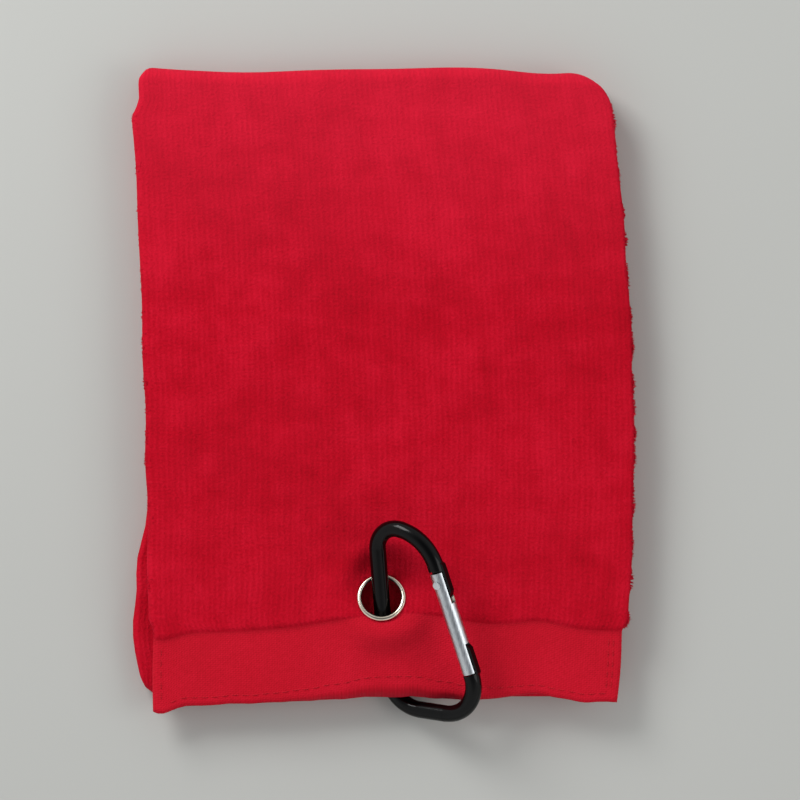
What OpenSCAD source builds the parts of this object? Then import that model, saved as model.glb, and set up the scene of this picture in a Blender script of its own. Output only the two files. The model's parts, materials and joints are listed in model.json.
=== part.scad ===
// Golf towel: a trifold terry towel folded flat, with an eyelet and a small carabiner.
// X runs across the folded towel, +Y from the hem towards the top fold, +Z up.
// The origin is the centre of the underside.

/* [Folded towel] */
// Width of the folded towel
towel_w = 137; // [110:1:180]
// Distance from the centre of the towel to the top fold
fold_reach = 90; // [75:1:120]
// Distance from the centre of the towel to the lower fold of the two under panels
under_reach = 89; // [75:1:120]
// How far the hem stops short of the lower fold
hem_setback = 3; // [1:0.5:6]
// Thickness of one folded panel, which is three layers of terry
panel_t = 3.5; // [2.5:0.1:6]
// Air gap under the top panel
panel_gap = 0.3; // [0.2:0.1:1]
// Length of the flat woven border at each end of the cloth
border_l = 18.5; // [12:0.5:30]
// Thickness of the woven border, three layers without pile
border_t = 2; // [1.2:0.1:2.4]

/* [Stitching] */
// Diameter of the sewing thread
thread_d = 0.5; // [0.3:0.05:0.8]
// Length of one stitch
stitch_l = 2.2; // [1.5:0.1:4]
// Distance from one stitch to the next
stitch_pitch = 3; // [2.5:0.1:5]
// Distance from an edge to its row of stitches
stitch_inset = 3; // [2:0.5:6]

/* [Eyelet] */
// Diameter of the hole
eyelet_hole_d = 11.1; // [9.2:0.1:14]
// Width of the rolled rim
eyelet_rim = 1.45; // [1.2:0.05:2.5]
// Thickness of the cloth crimped in the eyelet
crimp_t = 1.2; // [0.8:0.1:1.6]
// Wall of the barrel
barrel_wall = 0.4; // [0.3:0.05:0.6]
// Distance from the hem's edge to the eyelet, as a share of the carabiner's reach below it
eyelet_share = 0.7235; // [0.6:0.0005:0.78]
// How far the eyelet's centre lies left of the middle
eyelet_left = 0.7; // [0:0.1:5]
// Gap between the eyelet's lowest edge and the middle panel
eyelet_clear = 0.25; // [0.2:0.05:1]

/* [Carabiner] */
// Outside length
carabiner_l = 59.3; // [49:0.1:72]
// Outside width at the bow
carabiner_w = 33.3; // [27.7:0.1:40]
// Diameter of the wire
wire_d = 4.8; // [4:0.1:5.8]
// Centreline radius of the top bend
top_r = 7; // [5.8:0.1:9]
// Centreline radius of the shoulder above the gate
shoulder_r = 13.5; // [11:0.1:16.2]
// Where the top bend passes into the shoulder
shoulder_start = 80; // [60:1:90]
// Centreline radius of the bow's two bends
bow_r = 10.2; // [8.5:0.1:12.3]
// Distance from the outside of the top bend to the eyelet, as a share of the length
top_share = 0.408; // [0.34:0.001:0.48]
// Height of the bow's lowest point
floor_gap = 0.35; // [0:0.05:1]
// How far the gate side is raised
carabiner_roll = 32; // [26:1:40]
// Turn of the spine to the left, seen from above
carabiner_turn = 4.3; // [0:0.1:10]

/* [Gate] */
// Diameter of the sleeve
gate_d = 4.6; // [3.8:0.1:5.6]
// Diameter of the spring's bore
gate_bore_d = 3; // [2.5:0.1:3.6]
// Distance from the shoulder's end to the sleeve
gate_start = 2; // [1.6:0.1:2.4]
// Distance from the sleeve's other end to the bow
gate_stop = 0.7; // [0.65:0.05:1.2]
// Distance from the sleeve's end to the rivet
rivet_inset = 3.2; // [2.6:0.1:4]
// Diameter of the rivet's shank
rivet_d = 1.5; // [1.2:0.1:1.8]
// Diameter of the rivet's head
rivet_head_d = 2.2; // [2:0.1:2.6]
// Height of the rivet's head
rivet_head_t = 0.4; // [0.3:0.05:0.6]
// Thickness of the frame's flat tongue and nose
tongue_t = 1.8; // [1.4:0.1:2.2]
// Reach of the tongue into the sleeve, as a share of the sleeve
tongue_share = 0.26; // [0.21:0.01:0.32]
// Reach of the nose into the sleeve, as a share of the sleeve
nose_share = 0.27; // [0.22:0.01:0.33]
// Running clearance of the sleeve on its rivet
rivet_gap = 0.05; // [0.02:0.01:0.1]
// Clearance of the sleeve's slots and ends
slot_gap = 0.2; // [0.15:0.05:0.3]
// Reach past the rivet of the tongue's end inside the bore, which pushes the plunger
cam_reach = 1.6; // [1.3:0.1:2]
// Room for the plunger to be pushed back
plunger_travel = 0.35; // [0.3:0.05:0.6]
// Length of the plunger, as a share of the bore that it has with the spring
plunger_share = 0.35; // [0.25:0.01:0.45]
// Diameter of the spring's wire
spring_wire_d = 0.4; // [0.3:0.05:0.5]
// Number of turns in the spring
spring_turns = 7; // [4:1:10]

/* [Hidden] */

TERRY = "crimson";
BORDER = "firebrick";
THREAD = "indianred";
NICKEL = "silver";
BLACK = "black";
ALUMINIUM = "lightgray";

past = 1; // how far a cut runs past the face it opens
round_fn = 64;
hem_y = -(under_reach - hem_setback);
border_y = hem_y + border_l;
middle_z = panel_t;
top_z = 2 * panel_t + panel_gap;
hinge_y = fold_reach - panel_t - panel_gap; // the top panel folds up about this line
top_of_border = top_z + border_t;

top_to_eyelet = top_share * carabiner_l;
eyelet_inset = eyelet_share * (carabiner_l - top_to_eyelet); // from the hem's edge
wire_gap = 0.5; // between the carabiner's wire and what it passes through
wire_r = wire_d / 2;
bend_slim = 0.04; // a bend is this much slimmer than the straights that meet it
bend_lap = 0.35; // how far a straight runs over the bend it meets

// The carabiner's outline, flat: +Y up the spine from the eyelet, +X towards the gate.
top_y = top_to_eyelet - wire_r;
bow_y = top_to_eyelet - carabiner_l + wire_r + bow_r;
top_c = [top_r, top_y - top_r];
shoulder_c = top_c - (shoulder_r - top_r) * [cos(shoulder_start), sin(shoulder_start)];
shoulder_from = top_c + top_r * [cos(shoulder_start), sin(shoulder_start)];
shoulder_way = [sin(shoulder_start), -cos(shoulder_start)];
left_bow_c = [bow_r, bow_y];
right_bow_c = [carabiner_w - wire_d - bow_r, bow_y];

// The gate lies on the line that touches the shoulder and the right bend from outside.
between = right_bow_c - shoulder_c;
gate_angle = atan2(between[1], between[0]) + acos((shoulder_r - bow_r) / norm(between));
gate_line_l = sqrt(pow(norm(between), 2) - pow(shoulder_r - bow_r, 2));
gate_line_start = shoulder_c + shoulder_r * [cos(gate_angle), sin(gate_angle)];

// Along the gate line, from its start down to the nose.
sleeve_end_gap = 0.35;
gate_l = gate_line_l - gate_start - gate_stop;
gate_end = gate_start + gate_l;
rivet_at = gate_start + rivet_inset;
relief_r = norm([rivet_inset, gate_d / 2]) + slot_gap;
tongue_end = gate_start + tongue_share * gate_l;
hinge_slot_past = 1.5; // how far the hinge slot runs past the tongue
hinge_slot_end = tongue_end + hinge_slot_past;
cam_end = rivet_at + cam_reach;
plunger_start = cam_end + slot_gap + plunger_travel;
nose_start = gate_end - nose_share * gate_l;
nose_slot_past = 0.5; // how far the nose's slot runs past it
nose_slot_start = nose_start - nose_slot_past;
bore_end = nose_slot_start - past;
plunger_l = plunger_share * (bore_end - plunger_start);
spring_start = plunger_start + plunger_l;
spring_end = bore_end;
slot_w = tongue_t + 2 * slot_gap;
edge_proud = 0.6; // how far the tongue and the nose stand out of the sleeve
proud = gate_d / 2 + edge_proud;
tongue_in = 1.3; // the tongue's inner edge
tongue_shelf = gate_bore_d / 2 + slot_gap; // above this the tongue is clear of the plunger
tongue_root = 1.5; // how far the tongue runs back into the wire
tongue_slope = 2; // length of the tongue's cut-off corners
nose_in = 0.7; // the inner edge of the nose
nose_root = 2; // how far the nose runs on into the wire
nose_lead = 1; // length of the nose's sloped front

// The eyelet is two rolled rims on a barrel, tipped up so that the wire passes through it.
rim_r = eyelet_rim / 2;
rim_at = eyelet_hole_d / 2 + rim_r;
crimp_past = 2; // how far the crimped cloth runs past the rims
crimp_r = eyelet_hole_d / 2 + eyelet_rim + crimp_past;
barrel_r = eyelet_hole_d / 2 + barrel_wall;
wire_to_eyelet = atan2(crimp_t, eyelet_hole_d)
    + asin((wire_r + wire_gap) / norm([eyelet_hole_d / 2, crimp_t / 2]));

// The top bend is raised by this angle and the bow lowered, until it just clears the floor.
function eyelet_rise_at(tip) = rim_at * sin(wire_to_eyelet - tip)
    + crimp_t / 2 * cos(wire_to_eyelet - tip) + rim_r + eyelet_clear;
function tip_after(tip) = asin((2 * panel_t + eyelet_rise_at(tip) - wire_r - floor_gap)
    / (bow_r * tan(atan2(tan(tip), sin(carabiner_roll)) / 2) - bow_y));
first_tip = 18;
carabiner_tip = tip_after(tip_after(tip_after(tip_after(tip_after(first_tip)))));
eyelet_tip = wire_to_eyelet - carabiner_tip;
eyelet_rise = eyelet_rise_at(carabiner_tip); // above the middle panel
eyelet_c = [-eyelet_left, hem_y + eyelet_inset, 2 * panel_t + eyelet_rise];

// A soft slab with round long edges, from y0 to y1, standing on z0.
module soft_slab(y0, y1, z0, t) {
    r = t / 2;
    translate([0, y1, z0 + r]) rotate([90, 0, 0])
        linear_extrude(y1 - y0) union() {
            square([towel_w - t, t], center = true);
            for (side = [-1, 1]) translate([side * (towel_w - t) / 2, 0]) circle(r, $fn = round_fn);
        }
}

// Places its children in the carabiner's own plane, with the eyelet at the origin.
module in_carabiner() {
    translate(eyelet_c) rotate([0, 0, carabiner_turn]) rotate([carabiner_tip, 0, 0])
        rotate([0, -carabiner_roll, 0]) children();
}

// Places its children on the gate line: +X down the gate, +Y outward, +Z out of the plane.
module on_gate_line() {
    in_carabiner() translate([gate_line_start[0], gate_line_start[1], 0])
        rotate([0, 0, gate_angle - 90]) children();
}

// Places its children in the eyelet's own plane.
module in_eyelet() {
    translate(eyelet_c) rotate([-eyelet_tip, 0, 0]) children();
}

// The space that the spine needs under and through the cloth, open at the top.
module spine_channel(up) {
    r = wire_r + wire_gap;
    reach = carabiner_l;
    translate(eyelet_c) rotate([0, 0, carabiner_turn]) rotate([carabiner_tip, 0, 0]) {
        translate([0, -reach, 0]) rotate([-90, 0, 0]) cylinder(r = r, h = 2 * reach, $fn = round_fn);
        translate([-r, -reach, 0]) cube([2 * r, reach, up]);
    }
}

// The space that the bow's first bend needs beyond the end of the spine.
module bow_notch() {
    r = wire_r + wire_gap;
    from_y = eyelet_c[1] + bow_y * cos(carabiner_tip) + past;
    translate([eyelet_c[0] - r, -under_reach - past, -past])
        cube([2 * r + bow_r, from_y + under_reach + past, middle_z + panel_t + 2 * past]);
}

module bottom_panel() {
    color(TERRY) difference() {
        soft_slab(-under_reach, fold_reach - border_l, 0, panel_t);
        spine_channel(carabiner_l);
        bow_notch();
    }
}

module middle_panel() {
    color(TERRY) difference() {
        soft_slab(-under_reach, fold_reach, middle_z, panel_t);
        spine_channel(carabiner_l);
        bow_notch();
    }
}

module rear_border() {
    color(BORDER) soft_slab(fold_reach - border_l, fold_reach, 0, panel_t);
}

// An upright column round the eyelet, which stands on the top panel's underside.
module eyelet_column() {
    translate([eyelet_c[0], eyelet_c[1], top_z])
        cylinder(r = crimp_r * cos(eyelet_tip), h = 2 * crimp_r, $fn = round_fn);
}

// The cloth that the eyelet is crimped to, tipped up with it.
module eyelet_land() {
    intersection() {
        in_eyelet() translate([0, 0, -crimp_t / 2])
            cylinder(r = crimp_r, h = crimp_t, $fn = round_fn);
        translate([eyelet_c[0] - 2 * crimp_r, eyelet_c[1] - 2 * crimp_r, top_z])
            cube(4 * crimp_r);
    }
    intersection() {
        eyelet_column();
        in_eyelet() translate([-crimp_r, -crimp_r, -2 * crimp_r])
            cube([2 * crimp_r, 2 * crimp_r, 2 * crimp_r]);
    }
}

// What is taken out of the cloth for the eyelet and for the wire that passes through it.
module eyelet_cuts() {
    in_eyelet() {
        translate([0, 0, -2 * crimp_r]) cylinder(r = barrel_r, h = 4 * crimp_r, $fn = round_fn);
        translate([0, 0, crimp_t / 2])
            cylinder(r = rim_at + rim_r + wire_gap, h = crimp_r, $fn = round_fn);
        translate([0, 0, -crimp_t / 2 - crimp_r])
            cylinder(r = rim_at + rim_r + wire_gap, h = crimp_r, $fn = round_fn);
    }
    spine_channel(wire_r);
}

module top_panel() {
    color(TERRY) difference() {
        union() {
            soft_slab(border_y, hinge_y, top_z, panel_t);
            eyelet_land();
        }
        eyelet_cuts();
    }
}

module front_border() {
    color(BORDER) difference() {
        soft_slab(hem_y, border_y, top_z, border_t);
        eyelet_column();
        eyelet_cuts();
    }
}

module stitch() {
    rotate([0, 90, 0]) cylinder(d = thread_d, h = stitch_l, center = true, $fn = 16);
}

module hem_stitching() {
    half = floor((towel_w / 2 - 2 * stitch_inset) / stitch_pitch);
    color(THREAD) for (i = [-half:half])
        translate([i * stitch_pitch, hem_y + stitch_inset, top_of_border + thread_d / 2]) stitch();
}

module side_stitching() {
    first_y = hem_y + 2 * stitch_inset;
    room = border_l - 2 * stitch_inset - stitch_l / 2 - panel_gap;
    count = floor(room / stitch_pitch);
    color(THREAD) for (side = [-1, 1], i = [0:count])
        translate([side * (towel_w / 2 - stitch_inset), first_y + i * stitch_pitch,
            top_of_border + thread_d / 2]) rotate([0, 0, 90]) stitch();
}

// The front half of the eyelet: a rolled rim and the barrel.
module eyelet_barrel() {
    color(NICKEL) in_eyelet() rotate_extrude($fn = round_fn) {
        translate([rim_at, crimp_t / 2]) intersection() {
            circle(rim_r, $fn = round_fn);
            translate([-rim_r, 0]) square([2 * rim_r, rim_r]);
        }
        translate([eyelet_hole_d / 2, -crimp_t / 2]) square([barrel_wall, crimp_t]);
    }
}

// The back half, which the barrel is closed against.
module eyelet_washer() {
    color(NICKEL) in_eyelet() rotate_extrude($fn = round_fn)
        translate([rim_at, -crimp_t / 2]) intersection() {
            circle(rim_r, $fn = round_fn);
            translate([-rim_r, -rim_r]) square([2 * rim_r, rim_r]);
        }
}

// One bend of the wire about c, from angle a0 to a1.
module bend(c, r, a0, a1) {
    translate([c[0], c[1], 0]) rotate([0, 0, a0]) rotate_extrude(angle = a1 - a0, $fn = 2 * round_fn)
        translate([r, 0]) circle(wire_r - bend_slim, $fn = round_fn);
}

// A straight wire between two points of the plane, whose ends take in the bends it meets.
module straight(from, to) {
    run = to - from;
    translate([from[0], from[1], 0]) rotate([0, 0, atan2(run[1], run[0])])
        translate([-bend_lap, 0, 0]) rotate([0, 90, 0])
            cylinder(r = wire_r, h = norm(run) + 2 * bend_lap, $fn = round_fn);
}

// The frame's flat tongue, which the rivet passes through.
module tongue() {
    translate([0, 0, -tongue_t / 2]) linear_extrude(tongue_t) polygon([
        [-tongue_root, -tongue_in], [cam_end, -tongue_in], [cam_end, tongue_shelf],
        [tongue_end, tongue_shelf], [tongue_end - tongue_slope, proud], [0, proud],
        [-tongue_root, tongue_in]]);
}

// The frame's flat nose, which the sleeve closes over.
module nose() {
    translate([0, 0, -tongue_t / 2]) linear_extrude(tongue_t) polygon([
        [nose_start, proud - edge_proud], [nose_start + nose_lead, proud],
        [gate_end + sleeve_end_gap, proud], [gate_end + nose_root, 2 * nose_in],
        [gate_end + nose_root, nose_in], [nose_start + nose_lead, nose_in]]);
}

// The round wire of the frame, in its own plane.
module frame_wire() {
    bend(shoulder_c, shoulder_r, gate_angle, shoulder_start);
    straight(shoulder_from, shoulder_from + bend_slim * shoulder_way);
    bend(top_c, top_r, shoulder_start, 180);
    straight([0, top_c[1]], [0, bow_y]);
    bend(left_bow_c, bow_r, 180, 270);
    straight([left_bow_c[0], bow_y - bow_r], [right_bow_c[0], bow_y - bow_r]);
    bend(right_bow_c, bow_r, 270, 360 + gate_angle);
}

// The wire's two ends on the gate line, relieved for the sleeve's swing.
module frame_ends() {
    difference() {
        translate([-bend_lap, 0, 0]) rotate([0, 90, 0])
            cylinder(r = wire_r, h = gate_line_l + 2 * bend_lap, $fn = round_fn);
        translate([rivet_at, 0, -wire_d]) cylinder(r = relief_r, h = 2 * wire_d, $fn = round_fn);
        translate([rivet_at, -wire_d, -wire_d])
            cube([gate_end + sleeve_end_gap - rivet_at, 2 * wire_d, 2 * wire_d]);
    }
}

module carabiner_frame() {
    color(BLACK) difference() {
        union() {
            in_carabiner() frame_wire();
            on_gate_line() {
                frame_ends();
                tongue();
                nose();
            }
        }
        on_gate_line() translate([rivet_at, 0, -wire_d])
            cylinder(d = rivet_d, h = 2 * wire_d, $fn = round_fn);
    }
}

module gate_rivet() {
    head_z = gate_d / 2 + rivet_gap;
    color(ALUMINIUM) on_gate_line() translate([rivet_at, 0, 0]) {
        cylinder(d = rivet_d, h = 2 * head_z, center = true, $fn = round_fn);
        for (side = [-1, 1]) translate([0, 0, side * (head_z + rivet_head_t / 2)])
            cylinder(d = rivet_head_d, h = rivet_head_t, center = true, $fn = round_fn);
    }
}

module gate_sleeve() {
    color(ALUMINIUM) on_gate_line() difference() {
        translate([gate_start, 0, 0]) rotate([0, 90, 0])
            cylinder(d = gate_d, h = gate_l, $fn = round_fn);
        translate([gate_start - past, 0, 0]) rotate([0, 90, 0])
            cylinder(d = gate_bore_d, h = bore_end - gate_start + past, $fn = round_fn);
        translate([gate_start - past, -gate_d, -slot_w / 2])
            cube([hinge_slot_end - gate_start + past, 2 * gate_d, slot_w]);
        translate([nose_slot_start, nose_in - slot_gap, -slot_w / 2])
            cube([gate_end - nose_slot_start + past, gate_d, slot_w]);
        translate([rivet_at, 0, -gate_d])
            cylinder(d = rivet_d + 2 * rivet_gap, h = 2 * gate_d, $fn = round_fn);
    }
}

module spring_plunger() {
    color(NICKEL) on_gate_line() translate([plunger_start, 0, 0]) rotate([0, 90, 0])
        cylinder(d = gate_bore_d - 4 * rivet_gap, h = plunger_l, $fn = round_fn);
}

// The spring is a wire swept along a helix inside the bore.
module gate_spring() {
    sides = 6;
    steps = 18;
    rings = spring_turns * steps;
    coil_r = gate_bore_d / 2 - spring_wire_d / 2 - slot_gap / 2;
    run = spring_end - spring_start - spring_wire_d;
    function ring_point(i, j) =
        let (a = 360 * i / steps, b = 360 * j / sides, r = coil_r + spring_wire_d / 2 * cos(b))
        [spring_start + spring_wire_d / 2 + run * i / rings + spring_wire_d / 2 * sin(b),
            r * cos(a), r * sin(a)];
    points = [for (i = [0:rings], j = [0:sides - 1]) ring_point(i, j)];
    walls = [for (i = [0:rings - 1], j = [0:sides - 1]) let (k = (j + 1) % sides)
        [i * sides + j, i * sides + k, (i + 1) * sides + k, (i + 1) * sides + j]];
    caps = [[for (j = [0:sides - 1]) sides - 1 - j], [for (j = [0:sides - 1]) rings * sides + j]];
    color(NICKEL) on_gate_line() polyhedron(points, concat(walls, caps));
}

bottom_panel();
middle_panel();
rear_border();
top_panel();
front_border();
hem_stitching();
side_stitching();
eyelet_barrel();
eyelet_washer();
carabiner_frame();
gate_rivet();
gate_sleeve();
gate_spring();
spring_plunger();
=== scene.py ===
"""A folded golf towel with its eyelet and carabiner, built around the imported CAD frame.

The towel is one sheet of terry, folded in three across and then in three along its length.
A point of the sheet has a place across the fold (the section), a place along the length
(the station) and a side of the cloth. Lengths are in millimetres until a mesh is made.
"""

import json

import bpy
import numpy as np
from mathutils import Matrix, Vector


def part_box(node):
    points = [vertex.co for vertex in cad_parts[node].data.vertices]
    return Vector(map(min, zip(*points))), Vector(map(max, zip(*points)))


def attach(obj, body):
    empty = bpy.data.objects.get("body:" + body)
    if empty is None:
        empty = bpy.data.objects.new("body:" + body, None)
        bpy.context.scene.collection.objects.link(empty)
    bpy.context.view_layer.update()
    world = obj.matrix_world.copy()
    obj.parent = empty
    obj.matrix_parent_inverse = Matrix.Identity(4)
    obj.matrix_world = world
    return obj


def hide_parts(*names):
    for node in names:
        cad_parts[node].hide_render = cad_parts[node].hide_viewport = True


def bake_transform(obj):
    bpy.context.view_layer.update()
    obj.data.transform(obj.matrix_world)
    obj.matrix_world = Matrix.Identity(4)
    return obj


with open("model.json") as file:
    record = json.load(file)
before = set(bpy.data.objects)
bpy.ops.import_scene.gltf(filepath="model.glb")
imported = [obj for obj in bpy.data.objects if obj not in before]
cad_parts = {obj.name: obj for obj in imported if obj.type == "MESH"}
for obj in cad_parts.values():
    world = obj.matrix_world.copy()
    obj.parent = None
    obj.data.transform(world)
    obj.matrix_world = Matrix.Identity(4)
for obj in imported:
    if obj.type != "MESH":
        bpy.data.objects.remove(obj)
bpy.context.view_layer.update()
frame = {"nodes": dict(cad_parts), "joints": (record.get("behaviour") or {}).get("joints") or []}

MM = 0.001
JOINTS = {joint["name"]: joint for joint in frame["joints"]}


def box_mm(node):
    """The lowest and highest corners of a CAD node, in millimetres."""
    return [np.array(corner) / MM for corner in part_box(node)]


# ---------------------------------------------------------------- sizes from the frame
BOTTOM_LOW, BOTTOM_HIGH = box_mm("bottom_panel")
MIDDLE_LOW, MIDDLE_HIGH = box_mm("middle_panel")
PANEL_T = BOTTOM_HIGH[2] - BOTTOM_LOW[2]
HALF_W = MIDDLE_HIGH[0]
HALF_GAP = 0.15  # half the gap between the top panel and the pile under it
FOLD_Z = JOINTS["top_fold"]["pos_m"][2] / MM - HALF_GAP  # the level in the middle of that gap
TOP_Z = FOLD_Z + HALF_GAP
BASE_TOP = MIDDLE_HIGH[2]
HEM_Y = box_mm("front_border")[0][1]
BORDER_L = 20.0
BORDER_SCALE = 0.74  # the border's thickness over the pile's
EYELET = np.array(JOINTS["carabiner_swing"]["pos_m"]) / MM
SPINE = -np.array(JOINTS["carabiner_swing"]["axis"])
EYELET_TIP = np.radians(19.4)
EYELET_RIM_R = 7.0
HOLE_R = 6.3
HOLE_CUT_R = 6.2  # faces centred inside this are left out for the hole
CRIMP_T = 1.2  # the cloth's thickness between the eyelet's halves
WIRE_R = 2.4
WIRE_CLEAR = 0.35  # between the wire and the pile pressed down under it
SPINE_RISE = SPINE[2] / SPINE[1]  # climb of the spine for each millimetre along Y
SPINE_LEAN = SPINE[0] / SPINE[1]
WIRE_HALF_Z = WIRE_R / SPINE[1]  # half the wire's height, measured straight up


def smooth(x):
    """A soft step from 0 at x = 0 to 1 at x = 1."""
    x = np.clip(x, 0, 1)
    return x * x * (3 - 2 * x)


def hump(x, width, power=2):
    """A rounded bump of height 1, with its flanks about width away."""
    return np.exp(-np.abs(x / width) ** power)


def ripple(x, y, seed, size):
    """A smooth field of about -1 to 1, made of a few seeded waves of about that size."""
    rng = np.random.default_rng(seed)
    total, waves = 0, 7
    for _ in range(waves):
        angle, phase = rng.uniform(0, 2 * np.pi, 2)
        length = size * rng.uniform(0.7, 1.6)
        total = total + np.sin(2 * np.pi * (x * np.cos(angle) + y * np.sin(angle)) / length + phase)
    return total / np.sqrt(2 * waves)


def from_eyelet(x, y):
    """How far a point lies from the eyelet's middle, seen from above."""
    return np.hypot(x - EYELET[0], y - EYELET[1])


def eyelet_plane(y):
    """The height of the tipped eyelet's middle plane at y."""
    return EYELET[2] - (y - EYELET[1]) * np.tan(EYELET_TIP)


def grid_faces(rows, columns):
    """The four-sided faces of a grid of points numbered row by row."""
    grid = np.arange(rows * columns).reshape(rows, columns)
    return np.stack([grid[:-1, :-1], grid[:-1, 1:], grid[1:, 1:], grid[1:, :-1]], axis=-1).reshape(-1, 4)


# ---------------------------------------------------------------- the sheet before it is laid
FINE, COARSE = 1.4, 4.5  # spacing of the sheet's points where it shows and where it doesn't
LAYERS = PANEL_T * np.array([1, 3, 5]) / 6  # mid levels of the three layers of a panel
SHEET_HALF_T = PANEL_T / 6 * 0.96
THREAD_R = 0.15


def run(start, stop, step):
    """Evenly spaced places from start up to, not including, stop."""
    count = max(2, int(round(abs(stop - start) / step)))
    return np.linspace(start, stop, count, endpoint=False)


def section():
    """Across the panel: x, level, outward normal and arc length of the sheet's middle."""
    low, mid, high = LAYERS
    tuck_r, over_r = (mid - low) / 2, (high - low) / 2
    tuck_x, over_x = HALF_W - tuck_r - SHEET_HALF_T - 1.0, -HALF_W + over_r + SHEET_HALF_T
    turn = np.linspace(0, np.pi, 9, endpoint=False)
    over_turn = np.linspace(0, np.pi, 13, endpoint=False)
    x = [run(over_x + 2.5, tuck_x, COARSE)]
    level = [np.full(len(x[0]), mid)]
    x.append(tuck_x + tuck_r * np.sin(turn))
    level.append((low + mid) / 2 + tuck_r * np.cos(turn))
    x.append(run(tuck_x, over_x, COARSE))
    level.append(np.full(len(x[2]), low))
    x.append(over_x - over_r * np.sin(over_turn))
    level.append((low + high) / 2 - over_r * np.cos(over_turn))
    x.append(np.append(run(over_x, HALF_W, FINE), HALF_W))
    level.append(np.full(len(x[4]), high))
    x, level = np.concatenate(x), np.concatenate(level)
    dx, dl = np.gradient(x), np.gradient(level)
    size = np.hypot(dx, dl)
    arc = np.concatenate([[0], np.cumsum(np.hypot(np.diff(x), np.diff(level)))])
    return x, level, -dl / size, dx / size, arc


def stations():
    """Along the sheet: a row (centre y, centre z, way y, way z, r0, k, thickness, on the flap, arc).

    A point at level n lies at centre + (r0 + k n thickness) way. k is -1 round the lower fold.
    """
    top_y = MIDDLE_HIGH[1] - PANEL_T - HALF_GAP
    low_y = MIDDLE_LOW[1] + PANEL_T
    rear_y = MIDDLE_HIGH[1] - 1.5
    rows = []
    border_end = HEM_Y + BORDER_L
    for y in np.concatenate([run(HEM_Y, border_end, FINE), run(border_end, border_end + 2, 0.5),
                             run(border_end + 2, top_y, FINE)]):
        thin = BORDER_SCALE + (1 - BORDER_SCALE) * smooth((y - border_end) / 1.5)
        rows.append((y, TOP_Z, 0, 1, 0, 1, thin, 1))
    turn = np.concatenate([np.linspace(90, 6, 10), np.linspace(4, -4, 9), np.linspace(-6, -90, 10)])
    for angle in np.radians(turn):
        rows.append((top_y, FOLD_Z, np.cos(angle), np.sin(angle), HALF_GAP, 1, 1, float(angle > 0)))
    for y in run(top_y, low_y, COARSE)[1:]:
        rows.append((y, BASE_TOP, 0, -1, 0, 1, 1, 0))
    for angle in np.radians(np.linspace(90, 270, 15)):
        rows.append((low_y, PANEL_T, np.cos(angle), np.sin(angle), PANEL_T, -1, 1, 0))
    for y in run(low_y, rear_y - BORDER_L, COARSE)[1:]:
        rows.append((y, 0, 0, 1, 0, 1, 1, 0))
    for y in np.append(run(rear_y - BORDER_L, rear_y, 2.0), rear_y):
        thin = 1 - (1 - BORDER_SCALE) * smooth((y - rear_y + BORDER_L) / 1.5)
        rows.append((y, 0, 0, 1, 0, 1, thin, 0))
    rows = np.array(rows)
    reach = rows[:, 4] + rows[:, 5] * rows[:, 6] * PANEL_T / 2
    middle = rows[:, :2] + reach[:, None] * rows[:, 2:4]
    arc = np.concatenate([[0], np.cumsum(np.linalg.norm(np.diff(middle, axis=0), axis=1))])
    return np.column_stack([rows, arc])


# ---------------------------------------------------------------- how the folded towel lies
def round_corner(x, y, corner, size):
    """Draws the points near a square corner in, so that the corner is round."""
    way = np.sign(corner)
    u = np.clip((x * way[0] - (abs(corner[0]) - size[0])) / size[0], 0, None)
    v = np.clip((y * way[1] - (abs(corner[1]) - size[1])) / size[1], 0, None)
    inside = (u > 0) & (v > 0)

    def pull(a, b):
        return a * np.sqrt(np.clip(1 - b * b / 2, 0.3, 1))

    x = np.where(inside, way[0] * (abs(corner[0]) - size[0] + size[0] * pull(u, v)), x)
    y = np.where(inside, way[1] * (abs(corner[1]) - size[1] + size[1] * pull(v, u)), y)
    return x, y


def hem_end(x, share):
    """Where the hem ends: wavy, and its upper layer drawn up in the middle, over the carabiner."""
    droop = 2.6 * hump(x + 66, 6) + 0.5 * hump(x + 52, 12)
    drawn_up = 1.6 + 3.6 * smooth((share - 0.5) / 0.14)
    return HEM_Y - 4.4 - droop + drawn_up * hump(x - 3, 24) + 2.4 * hump(x - 43, 10)


def top_edge_wave(x):
    """How far the top fold bulges or falls back along its length."""
    return (0.6 * hump(x + 66, 8) - 0.9 * hump(x + 35, 17) + 0.5 * hump(x - 25, 14)
            - 1.3 * hump(x - 52, 12))


def middle_line(y):
    """The towel's own middle: it lies a little askew and is slightly bowed."""
    return 1.3 - 0.0273 * y - 0.000418 * y * y


def spread(y):
    """The width at y over the nominal width: fullest halfway up."""
    return 1 + (1.0 - 0.00022 * (y - 5) ** 2) / HALF_W


def spine_at(x, y):
    """How far a point lies beside the spine, and the height of the spine's middle there."""
    return x - EYELET[0] - (y - EYELET[1]) * SPINE_LEAN, EYELET[2] + (y - EYELET[1]) * SPINE_RISE


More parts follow.
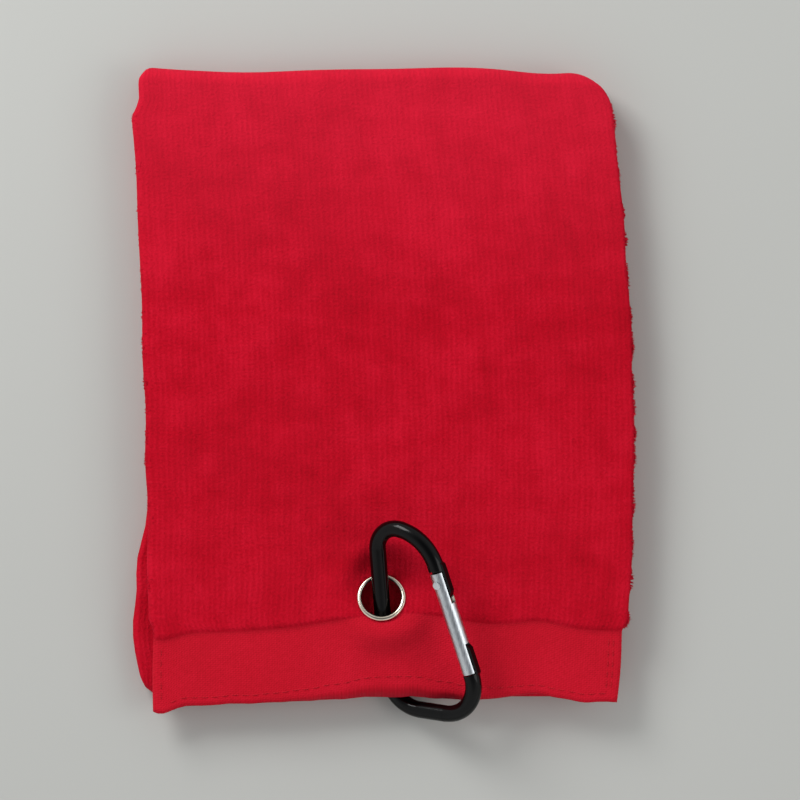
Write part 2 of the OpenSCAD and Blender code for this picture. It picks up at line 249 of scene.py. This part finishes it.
def settled():
    """How far the top panel rides up over the wire and round the eyelet, on a flat grid.

    One sheet of cloth, ten times life size, is dropped on the pile and the wire under it.
    """
    grow, pitch, frames = 10 * MM, 2.5, 45
    contact, resting = 0.004, 0.9  # collision distance, and how high the settled cloth floats
    xs = np.arange(-HALF_W - 2, HALF_W + 2.1, pitch)
    ys = np.arange(HEM_Y - 8, MIDDLE_HIGH[1], pitch)
    x, y = np.meshgrid(xs, ys)
    faces = grid_faces(*x.shape)
    aside, spine_z = spine_at(x, y)
    arch = np.sqrt(np.clip(1 - (aside / WIRE_R) ** 2, 0, 1)) * WIRE_HALF_Z
    wire = np.where((np.abs(aside) < WIRE_R) & (y < EYELET[1] - 4), spine_z + arch, 0)
    pile = np.maximum(TOP_Z, wire) + 0.05 * ripple(x, y, 21, 30)
    held = from_eyelet(x, y) < EYELET_RIM_R + 1.2
    start = np.where(held, eyelet_plane(y) - CRIMP_T / 2, np.maximum(pile, TOP_Z + 3) + 1.0)

    def grown(name, z):
        points = np.stack([x, y, z], axis=-1).reshape(-1, 3) * (grow / MM)
        return mesh_object(name, points, faces)

    below, cloth = grown("settling_pile", pile), grown("settling_cloth", start)
    below.modifiers.new("Collision", "COLLISION")
    below.collision.thickness_outer = contact
    below.collision.cloth_friction = 20
    group = cloth.vertex_groups.new(name="crimped")
    group.add(np.where(held.ravel())[0].tolist(), 1.0, "REPLACE")
    modifier = cloth.modifiers.new("Cloth", "CLOTH")
    modifier.settings.vertex_group_mass = "crimped"
    modifier.settings.quality = 6
    modifier.settings.mass = 0.4
    modifier.settings.bending_stiffness = 4.0
    modifier.collision_settings.distance_min = contact
    scene = bpy.context.scene
    modifier.point_cache.frame_start, modifier.point_cache.frame_end = 1, frames
    for step in range(1, frames + 1):
        scene.frame_set(step)
    done = cloth.evaluated_get(bpy.context.evaluated_depsgraph_get())
    z = np.empty(len(done.data.vertices) * 3)
    done.data.vertices.foreach_get("co", z)
    for used in (cloth, below):
        mesh = used.data
        bpy.data.objects.remove(used)
        bpy.data.meshes.remove(mesh)
    scene.frame_set(1)
    rise = np.clip(z.reshape(-1, 3)[:, 2].reshape(x.shape) / grow - TOP_Z - resting, 0, 6)
    for _ in range(2):  # the panel is three layers thick, so it takes no sharp crease
        wide = np.pad(rise, 1, mode="edge")
        rise = (wide[:-2, 1:-1] + wide[2:, 1:-1] + wide[1:-1, :-2] + wide[1:-1, 2:] + 2 * rise) / 6
    # Towards the far edge the panel lies down again within a short way of the eyelet.
    beyond = np.hypot(x - EYELET[0], np.clip(y - EYELET[1], 0, None))
    return xs, ys, rise * (1 - smooth((beyond - 14) / 14) * smooth((y - EYELET[1]) / 6))


def rise_at(x, y):
    """The settled rise at any flat places, between the grid's points."""
    xs, ys, rise = SETTLED
    u = np.clip((x - xs[0]) / (xs[1] - xs[0]), 0, len(xs) - 1.001)
    v = np.clip((y - ys[0]) / (ys[1] - ys[0]), 0, len(ys) - 1.001)
    i, j = u.astype(int), v.astype(int)
    u, v = u - i, v - j
    low = rise[j, i] * (1 - u) + rise[j, i + 1] * u
    high = rise[j + 1, i] * (1 - u) + rise[j + 1, i + 1] * u
    return low * (1 - v) + high * v


def round_top_corners(x, y):
    """The two corners at the top fold, and that fold's wavy line."""
    x, y = round_corner(x, y, (HALF_W, MIDDLE_HIGH[1]), (12, 12))
    x, y = round_corner(x, y, (-HALF_W, MIDDLE_HIGH[1]), (5, 5))
    # The left fold draws in a little over its last stretch.
    x = x + 2.4 * smooth((y - 75) / 6) * smooth((14 - HALF_W - x) / 14)
    return x, y + top_edge_wave(x) * smooth((y - 55) / 30)


def lay_top(x, y, z):
    """The top panel and its hem."""
    x, y = round_top_corners(x, y)
    share = (z - TOP_Z) / PANEL_T
    y = y + (hem_end(x, share) - HEM_Y) * smooth((-46 - y) / 20)
    x = x * (1 - 1.5 / HALF_W * smooth((HEM_Y + BORDER_L - 1 - y) / 3))
    swell = 0.42 * ripple(x, y, 3, 48) + 0.20 * ripple(x, y, 4, 19) + 0.07 * ripple(x, y, 6, 6)
    z = z + np.clip(share, 0, 1) * (swell * smooth((HALF_W + 2 - np.abs(x)) / 14) + 0.2)
    y = y + 0.3 * ripple(x, share, 7, 9) * smooth((HEM_Y + 6 - y) / 5)
    # The hem lies over the wire, and the cloth round the eyelet is tipped up with it.
    z = z + rise_at(x, y)
    near = 1 - smooth((from_eyelet(x, y) - EYELET_RIM_R - 0.2) / 9)
    tipped = eyelet_plane(y) + (share - 0.5) * CRIMP_T
    # Nothing of this panel dips below the level where the top fold's bend ends.
    return x, y, np.where(near > 0, np.maximum(z + near * (tipped - z), TOP_Z + 0.05 * share), z)


def lay_under(x, y, z):
    """The middle and bottom panels, pressed down where the carabiner lies on them."""
    x, y = round_corner(x, y, (-HALF_W, MIDDLE_LOW[1]), (9, 14))
    x, y = round_corner(x, y, (HALF_W, MIDDLE_LOW[1]), (8, 8))
    x, y = round_top_corners(x, y)
    out = smooth((-27 - y) / 38)
    x = x - 4.3 * out + 0.6 * out * np.sin(y / 3.4)
    y = y + 10.5 * hump(x - EYELET[0] - 3.6, 5.2, 4) * smooth((-68 - y) / 21)
    aside, spine_z = spine_at(x, y)
    room = spine_z - WIRE_HALF_Z - WIRE_CLEAR
    room = room + (BASE_TOP - room) * smooth((np.abs(aside) - 2.6) / 3.4)
    room = np.where(y < EYELET[1] + 4, room, BASE_TOP)
    return x, y, z * np.clip(room / BASE_TOP, 0.14, 1)


def lay(x, y, z, flap):
    """Lays the folded sheet as it rests: flap is 1 on the top panel and 0 below it."""
    top, under = lay_top(x, y, z), lay_under(x, y, z)
    x, y, z = (np.where(flap > 0.5, a, b) for a, b in zip(top, under))
    return middle_line(y) + x * spread(y) + 0.25 * ripple(x, y, 5, 24), y, z


# ---------------------------------------------------------------- meshes
def add_object(name, data):
    """An object in the scene, at the origin."""
    obj = bpy.data.objects.new(name, data)
    bpy.context.scene.collection.objects.link(obj)
    return obj


def mesh_object(name, points, faces, uv=None, smooth_faces=True):
    """A mesh object from points in millimetres, with UVs by point in metres."""
    mesh = bpy.data.meshes.new(name)
    mesh.from_pydata((np.asarray(points) * MM).tolist(), [], [tuple(face) for face in faces])
    mesh.validate()
    if uv is not None:
        layer = mesh.uv_layers.new(name="cloth")
        corner = np.empty(len(mesh.loops), dtype=np.int32)
        mesh.loops.foreach_get("vertex_index", corner)
        layer.data.foreach_set("uv", (np.asarray(uv)[corner] * MM).ravel().astype(np.float32))
    mesh.polygons.foreach_set("use_smooth", [smooth_faces] * len(mesh.polygons))
    return add_object(name, mesh)


def draw_in_hole(points, rim, under):
    """Moves the edge of the eyelet's hole, in both skins, on to a circle under the rims."""
    edge = np.unique(rim)
    reach = from_eyelet(points[edge, 0], points[edge, 1])
    edge = edge[(reach < EYELET_RIM_R + 1.5) & (points[edge, 2] > BASE_TOP)]
    edge = np.concatenate([edge, edge + under])
    way = points[edge, :2] - EYELET[:2]
    on_circle = EYELET[:2] + way / np.linalg.norm(way, axis=1)[:, None] * HOLE_R
    points[edge, 2] -= (on_circle[:, 1] - points[edge, 1]) * np.tan(EYELET_TIP)
    points[edge, :2] = on_circle


def towel():
    """The whole sheet: two skins and the edges between them, with the eyelet's hole."""
    x, level, nx, nl, across = section()
    rows = stations()
    wide, long = len(x), len(rows)
    count = wide * long
    uv = np.stack([np.tile(across, (long, 1)), np.tile(rows[:, 8:9], (1, wide))], axis=-1).reshape(-1, 2)
    skins = []
    for side in (1, -1):
        sx = np.tile(x + side * SHEET_HALF_T * nx, (long, 1))
        sn = (level + side * SHEET_HALF_T * nl)[None, :]
        cy, cz, wy, wz, r0, k, thin, flap = (rows[:, i][:, None] for i in range(8))
        r = r0 + k * sn * thin
        px, py, pz = lay(sx, cy + r * wy, cz + r * wz, np.broadcast_to(flap, sx.shape))
        skins.append(np.stack([px, py, pz], axis=-1).reshape(-1, 3))
    points = np.concatenate(skins)
    quads = grid_faces(long, wide)
    centre = points[quads].mean(axis=1)
    on_flap = (rows[:, 7][quads // wide] > 0.5).all(axis=1)
    quads = quads[~(on_flap & (from_eyelet(centre[:, 0], centre[:, 1]) < HOLE_CUT_R))]
    under = quads[:, ::-1] + count
    edges = np.concatenate([quads[:, pair] for pair in ([0, 1], [1, 2], [2, 3], [3, 0])])
    keys = {tuple(e) for e in edges.tolist()}
    rim = np.array([e for e in edges.tolist() if (e[1], e[0]) not in keys])
    walls = np.column_stack([rim[:, 1], rim[:, 0], rim[:, 0] + count, rim[:, 1] + count])
    faces = np.concatenate([quads, under, walls])
    draw_in_hole(points, rim, count)
    obj = mesh_object("towel_cloth", points, faces, np.concatenate([uv, uv]))
    obj.data.materials.append(terry_material())
    obj.data.materials.append(border_material())
    row = (faces[:, 0] % count) // wide
    length = rows[:, 8]
    is_border = (length[row] < BORDER_L + 0.5) | (length[row] > length[-1] - BORDER_L)
    obj.data.polygons.foreach_set("material_index", is_border.astype(np.int32))
    return obj, (across[-1], length[-1])


def on_hem(x, y):
    """The top of the hem's upper layer above a flat place (x, y) on the border."""
    z = TOP_Z + (LAYERS[2] + SHEET_HALF_T) * BORDER_SCALE
    shape = np.ones_like(np.asarray(x, dtype=float))
    return np.stack(lay(x * shape, y * shape, z * shape, shape), axis=-1)


def stitches(name, starts, ends):
    """A row of stitches between pairs of flat places; each bows up out of the cloth."""
    points, faces, sides = [], [], 6
    along = np.linspace(0, 1, 6)
    turn = np.linspace(0, 2 * np.pi, sides, endpoint=False)
    for a, b in zip(starts, ends):
        place = a + np.outer(along, b - a)
        line = on_hem(place[:, 0], place[:, 1])
        line[:, 2] += THREAD_R * (1.5 * np.sin(np.pi * along) - 0.7)
        way = (line[-1] - line[0]) / np.linalg.norm(line[-1] - line[0])
        side = np.cross(way, [0, 0, 1])
        side /= np.linalg.norm(side)
        up = np.cross(side, way)
        base = len(points)
        for place in line:
            points += [place + THREAD_R * (np.cos(t) * side + np.sin(t) * up) for t in turn]
        for i in range(len(line) - 1):
            low, high = base + sides * i, base + sides * (i + 1)
            for j in range(sides):
                k = (j + 1) % sides
                faces.append((low + j, low + k, high + k, high + j))
        faces.append(tuple(base + j for j in reversed(range(sides))))
        faces.append(tuple(base + sides * (len(line) - 1) + j for j in range(sides)))
    obj = mesh_object(name, points, faces)
    obj.data.materials.append(thread_material())
    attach(obj, "top_flap")
    return obj


def all_stitches():
    """The hem's row along its rolled edge, and rows down its ends: one left, two right."""
    step, length, inset = 3.0, 2.2, 2.4
    x = np.arange(-HALF_W + 5, HALF_W - 5, step)
    flat = np.column_stack([x, np.full(len(x), HEM_Y + inset)])
    hem = stitches("hem_stitches", flat, flat + [length, 0])
    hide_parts("hem_stitching")
    y = np.arange(HEM_Y + 4, HEM_Y + BORDER_L - 3, step)
    lines = (-HALF_W + 2.6, HALF_W - 2.4, HALF_W - 3.8)
    flat = np.concatenate([np.column_stack([np.full(len(y), x), y]) for x in lines])
    side = stitches("side_stitches", flat, flat + [0, length])
    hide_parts("side_stitching")


def side_fuzz(name, side, count, reach):
    """Loops of pile that stand out of one side of the top panel, down to the border."""
    rng = np.random.default_rng(11 + side)
    y = rng.uniform(HEM_Y + BORDER_L + 1, MIDDLE_HIGH[1] - 9, count)
    level = rng.uniform(0.2, 1, count) * (LAYERS[2] + SHEET_HALF_T)
    bulge = np.sqrt(np.clip(1 - (2 * level / PANEL_T - 1) ** 2, 0, 1)) if side < 0 else 1
    flat_x = side * (HALF_W - 0.25 - PANEL_T / 2 * (1 - bulge)) * np.ones(count)
    root = np.stack(lay(flat_x, y, TOP_Z + level, np.ones(count)), axis=-1)
    length = reach * rng.uniform(0.3, 1.5, count) * (0.7 + 0.6 * ripple(y, level * 0, 12, 5))
    lean = rng.normal(0, 0.5, (count, 2))
    way = np.column_stack([np.full(count, side), lean])
    way /= np.linalg.norm(way, axis=1)[:, None]
    thick = rng.uniform(0.10, 0.22, count)
    corner = np.array([[0, 0, 1.0], [0, 0.87, -0.5], [0, -0.87, -0.5]])
    ring0 = root[:, None] + thick[:, None, None] * corner
    bend = (way * np.clip(length, 0.2, 1.5)[:, None])[:, None]
    ring1 = root[:, None] + 0.6 * bend + 1.1 * thick[:, None, None] * corner
    tip = root + bend[:, 0] + rng.normal(0, 0.12, (count, 3))
    points = np.concatenate([ring0, ring1, tip[:, None]], axis=1).reshape(-1, 3)
    # Each loop is a three-sided spike: a root ring, a ring part way up and a tip.
    one = [(0, 1, 4), (0, 4, 3), (1, 2, 5), (1, 5, 4), (2, 0, 3), (2, 3, 5),
           (3, 4, 6), (4, 5, 6), (5, 3, 6), (0, 2, 1)]
    faces = (np.arange(count)[:, None, None] * 7 + np.array(one)).reshape(-1, 3)
    obj = mesh_object(name, points, faces, uv=points[:, :2])
    obj.data.materials.append(bpy.data.materials["towel_terry"])
    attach(obj, "top_flap")


# ---------------------------------------------------------------- materials
class Nodes:
    """A Principled material whose textures are made one call at a time."""

    def __init__(self, name, **values):
        self.material = bpy.data.materials.new(name)
        self.material.use_nodes = True
        self.tree = self.material.node_tree
        self.shader = self.tree.nodes["Principled BSDF"]
        for socket, value in values.items():
            self.shader.inputs[socket.replace("_", " ")].default_value = value

    def add(self, kind, link=None, **settings):
        node = self.tree.nodes.new(kind)
        for key, value in settings.items():
            if key in node.inputs:
                node.inputs[key].default_value = value
            else:
                setattr(node, key, value)
        if link:
            for socket, source in link.items():
                self.tree.links.new(source, node.inputs[socket])
        return node

    def place(self, kind="UV", scale=(1, 1, 1), rotation=(0, 0, 0)):
        coordinates = self.add("ShaderNodeTexCoord")
        mapping = self.add("ShaderNodeMapping", {"Vector": coordinates.outputs[kind]})
        mapping.inputs["Scale"].default_value = scale
        mapping.inputs["Rotation"].default_value = rotation
        return mapping.outputs["Vector"]

    def noise(self, where, scale, detail=3.0, roughness=0.55):
        node = self.add("ShaderNodeTexNoise", {"Vector": where}, Scale=scale, Detail=detail)
        node.inputs["Roughness"].default_value = roughness
        return node.outputs["Fac"]

    def wave(self, where, scale, distortion=0.0, direction="X"):
        node = self.add("ShaderNodeTexWave", {"Vector": where}, Scale=scale, Distortion=distortion)
        node.bands_direction = direction
        node.inputs["Detail"].default_value = 2.0
        return node.outputs["Fac"]

    def ramp(self, factor, stops):
        node = self.add("ShaderNodeValToRGB", {"Fac": factor})
        ramp = node.color_ramp
        while len(ramp.elements) < len(stops):
            ramp.elements.new(0.5)
        for element, (place, colour) in zip(ramp.elements, stops):
            element.position = place
            element.color = (*colour, 1)
        return node.outputs["Color"]

    def mix(self, a, b, factor):
        node = self.add("ShaderNodeMix", data_type="RGBA")
        for socket, value in ((node.inputs[0], factor), (node.inputs[6], a), (node.inputs[7], b)):
            if hasattr(value, "links"):
                self.tree.links.new(value, socket)
            else:
                socket.default_value = value
        return node.outputs[2]

    def sum(self, *terms):
        """The weighted sum of (output, weight) pairs."""
        total = None
        for output, weight in terms:
            scaled = self.add("ShaderNodeMath", {0: output}, operation="MULTIPLY")
            scaled.inputs[1].default_value = weight
            if total is None:
                total = scaled.outputs[0]
            else:
                total = self.add("ShaderNodeMath", {0: total, 1: scaled.outputs[0]}).outputs[0]
        return total

    def finish(self, colour, roughness=None, height=None, distance=0.0003):
        for socket, output in (("Base Color", colour), ("Roughness", roughness)):
            if output is not None:
                self.tree.links.new(output, self.shader.inputs[socket])
        if height is not None:
            bump = self.add("ShaderNodeBump", {"Height": height}, Distance=distance, Strength=1.0)
            self.tree.links.new(bump.outputs["Normal"], self.shader.inputs["Normal"])
        return self.material


def terry_material():
    """Sheared cotton terry: fine pile rows down the cloth, with the nap lying unevenly, and painted
    light that lightens it towards the top fold.
    """
    n = Nodes("towel_terry", Roughness=0.95, Specular_IOR_Level=0.08, Sheen_Weight=0.22,
              Sheen_Roughness=0.45, Sheen_Tint=(1.0, 0.06, 0.16, 1))
    cloth = n.place()
    rows = n.wave(cloth, 205, 1.6)
    tufts = n.noise(cloth, 1500, 3, 0.6)
    nap = n.noise(n.place(scale=(1, 0.35, 1)), 170, 5, 0.65)
    brushed = n.noise(n.place(scale=(1, 1.6, 1)), 75, 4, 0.6)
    patches = n.noise(cloth, 24, 3)
    shade = n.sum((rows, 0.07), (tufts, 0.36), (nap, 0.36), (brushed, 0.26), (patches, 0.30))
    colour = n.ramp(shade, [(0.42, (0.30, 0.0004, 0.0050)), (0.66, (0.46, 0.0010, 0.0110)),
                            (0.92, (0.66, 0.0060, 0.0270))])
    # Painted light: the colour lightens towards the top fold, as if lit more there, with a little random
    # nap tone mixed in.
    split = n.add("ShaderNodeSeparateXYZ", {"Vector": n.place("Object")})
    painted_top_light = n.add("ShaderNodeMapRange", {"Value": split.outputs["Y"]})
    for socket, value in (("From Min", 0.02), ("From Max", 0.09), ("To Min", 0.0), ("To Max", 0.34)):
        painted_top_light.inputs[socket].default_value = value
    painted_top_light_and_nap = n.sum((painted_top_light.outputs["Result"], 1.0), (brushed, 0.15))
    # The lighter red of the painted top light, mixed in by that mask.
    colour = n.mix(colour, (0.74, 0.020, 0.055, 1), painted_top_light_and_nap)
    return n.finish(colour, height=n.sum((tufts, 0.7), (rows, 0.12), (nap, 0.5), (brushed, 0.5)),
                    distance=0.0006)


def border_material():
    """The flat woven border: close ribs across the towel, with no pile."""
    n = Nodes("towel_border", Roughness=0.85, Specular_IOR_Level=0.15, Sheen_Weight=0.12,
              Sheen_Roughness=0.5, Sheen_Tint=(1.0, 0.10, 0.18, 1))
    cloth = n.place()
    warp = n.wave(cloth, 420, 0.8)
    weft = n.wave(cloth, 560, 0.8, "Y")
    twill = n.wave(n.place(rotation=(0, 0, 0.9)), 430, 1.0)
    yarn = n.noise(cloth, 900, 3)
    patches = n.noise(cloth, 35, 3)
    shade = n.sum((warp, 0.10), (weft, 0.10), (twill, 0.10), (yarn, 0.34), (patches, 0.36))
    colour = n.ramp(shade, [(0.28, (0.43, 0.0012, 0.0100)), (0.5, (0.53, 0.0026, 0.0165)),
                            (0.72, (0.63, 0.0065, 0.0270))])
    return n.finish(colour, height=n.sum((twill, 0.3), (weft, 0.3), (warp, 0.3), (yarn, 0.4)),
                    distance=0.00012)


def thread_material():
    """Twisted sewing thread, a little glossier than the cloth."""
    n = Nodes("sewing_thread", Roughness=0.85, Specular_IOR_Level=0.15, Sheen_Weight=0.05)
    twist = n.wave(n.place("Object", rotation=(0, 0, 0.8)), 600, 0.5)
    fibre = n.noise(n.place("Object"), 2500, 2)
    colour = n.ramp(n.sum((twist, 0.5), (fibre, 0.5)),
                    [(0.3, (0.44, 0.002, 0.012)), (0.7, (0.58, 0.007, 0.024))])
    return n.finish(colour, height=twist, distance=0.0001)


def enamel_material():
    """Gloss black on aluminium, with faint handling marks."""
    n = Nodes("black_enamel", Specular_IOR_Level=0.05, Coat_Weight=0.24, Coat_Roughness=0.05)
    marks = n.noise(n.place("Object", scale=(1, 6, 1)), 420, 4, 0.65)
    cloud = n.noise(n.place("Object"), 90, 3)
    colour = n.ramp(cloud, [(0.35, (0.0006, 0.0007, 0.0008)), (0.7, (0.0018, 0.0019, 0.0022))])
    rough = n.ramp(marks, [(0.35, (0.16, 0.16, 0.16)), (0.75, (0.30, 0.30, 0.30))])
    return n.finish(colour, rough, n.sum((marks, 0.6), (cloud, 0.4)), 0.00004)


def aluminium_material():
    """Bare aluminium, drawn along the gate."""
    n = Nodes("brushed_aluminium", Metallic=1.0)
    way = Vector(JOINTS["plunger_slide"]["axis"])
    lean = way.to_track_quat("Y", "Z").inverted().to_euler()
    drawn = n.noise(n.place("Object", scale=(1, 0.05, 1), rotation=tuple(lean)), 2600, 3, 0.6)
    cloud = n.noise(n.place("Object"), 160, 4)
    colour = n.ramp(n.sum((drawn, 0.6), (cloud, 0.4)),
                    [(0.3, (0.36, 0.39, 0.42)), (0.7, (0.68, 0.71, 0.73))])
    rough = n.ramp(drawn, [(0.3, (0.26, 0.26, 0.26)), (0.7, (0.42, 0.42, 0.42))])
    return n.finish(colour, rough, drawn, 0.00003)


def nickel_material():
    """Warm polished nickel with light wear."""
    n = Nodes("polished_nickel", Metallic=1.0)
    where = n.place("Object")
    wear = n.noise(where, 900, 4, 0.65)
    tint = n.noise(where, 240, 2)
    colour = n.ramp(tint, [(0.3, (0.58, 0.51, 0.40)), (0.7, (0.80, 0.73, 0.61))])
    rough = n.ramp(wear, [(0.35, (0.12, 0.12, 0.12)), (0.75, (0.26, 0.26, 0.26))])
    return n.finish(colour, rough, wear, 0.00002)


def set_material(node, material):
    """Gives a CAD node a better material; its mesh stays as it is."""
    for held in frame["nodes"][node].material_slots:
        held.material = material


def closing_spring(material):
    """A copy of the CAD spring in the given material, left where the CAD spring stood; the CAD spring is
    hidden.
    """
    mesh = frame["nodes"]["gate_spring"].data.copy()
    mesh.materials.clear()
    mesh.materials.append(material)
    spring = add_object("closing_spring", mesh)
    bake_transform(spring)
    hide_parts("gate_spring")


# ---------------------------------------------------------------- the set
def table():
    """A plain pale surface under the towel."""
    side = 3000
    corners = [(-side, -side, 0), (side, -side, 0), (side, side, 0), (-side, side, 0)]
    obj = mesh_object("table_top", corners, [(0, 1, 2, 3)], smooth_faces=False)
    n = Nodes("table_top", Roughness=0.6)
    cloud = n.noise(n.place("Object"), 3, 3)
    colour = n.ramp(cloud, [(0.3, (0.480, 0.486, 0.462)), (0.7, (0.500, 0.506, 0.482))])
    obj.data.materials.append(n.finish(colour))


def area_light(name, place, aim, size, watts):
    """A square soft light; lengths in metres."""
    light = bpy.data.lights.new(name, "AREA")
    light.shape = "SQUARE"
    light.size = size
    light.energy = watts
    obj = add_object(name, light)
    obj.location = place
    obj.rotation_euler = (Vector(aim) - Vector(place)).to_track_quat("-Z", "Y").to_euler()


def lights_and_camera():
    """Soft light from the upper left, and a camera straight above."""
    area_light("key", (-0.50, 0.62, 0.56), (0, 0.04, 0), 0.45, 6.4)
    area_light("fill", (0.75, -0.10, 0.60), (0, 0, 0), 0.50, 1.6)
    world = bpy.data.worlds.new("studio")
    world.use_nodes = True
    tree = world.node_tree
    way = tree.nodes.new("ShaderNodeTexCoord")
    split = tree.nodes.new("ShaderNodeSeparateXYZ")
    dome = tree.nodes.new("ShaderNodeValToRGB")  # pale walls under a darker ceiling
    tree.links.new(way.outputs["Generated"], split.inputs[0])
    tree.links.new(split.outputs["Z"], dome.inputs["Fac"])
    tree.links.new(dome.outputs["Color"], tree.nodes["Background"].inputs["Color"])
    stops = ((0.62, (1, 1, 1, 1)), (0.97, (0.20, 0.21, 0.23, 1)))
    for element, (place, colour) in zip(dome.color_ramp.elements, stops):
        element.position = place
        element.color = colour
    tree.nodes["Background"].inputs["Strength"].default_value = 0.80
    bpy.context.scene.world = world
    bpy.context.scene.view_settings.view_transform = "Standard"

    shown_w = 0.228  # width of table in the frame, at the level of the top panel
    height = 1.4
    camera = bpy.data.cameras.new("camera")
    camera.sensor_width = 36
    camera.lens = camera.sensor_width * (height - BASE_TOP * MM) / shown_w
    obj = add_object("camera", camera)
    obj.location = (0.0046, -0.0043, height)
    bpy.context.scene.camera = obj


def main():
    """Builds the set, the cloth and its trimmings, and finishes the carried-over nodes."""
    lights_and_camera()
    table()
    cloth, flat = towel()
    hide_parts("bottom_panel", "middle_panel", "rear_border", "top_panel", "front_border")
    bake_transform(cloth)

    enamel, aluminium, nickel = enamel_material(), aluminium_material(), nickel_material()
    all_stitches()
    side_fuzz("selvedge_fuzz", 1, 2600, 1.0)
    side_fuzz("fold_fuzz", -1, 1400, 0.55)
    for node, material in (("carabiner_frame", enamel), ("gate_sleeve", aluminium),
                           ("gate_rivet", aluminium), ("eyelet_barrel", nickel),
                           ("eyelet_washer", nickel), ("spring_plunger", nickel)):
        set_material(node, material)
    closing_spring(nickel)


SETTLED = settled()
main()
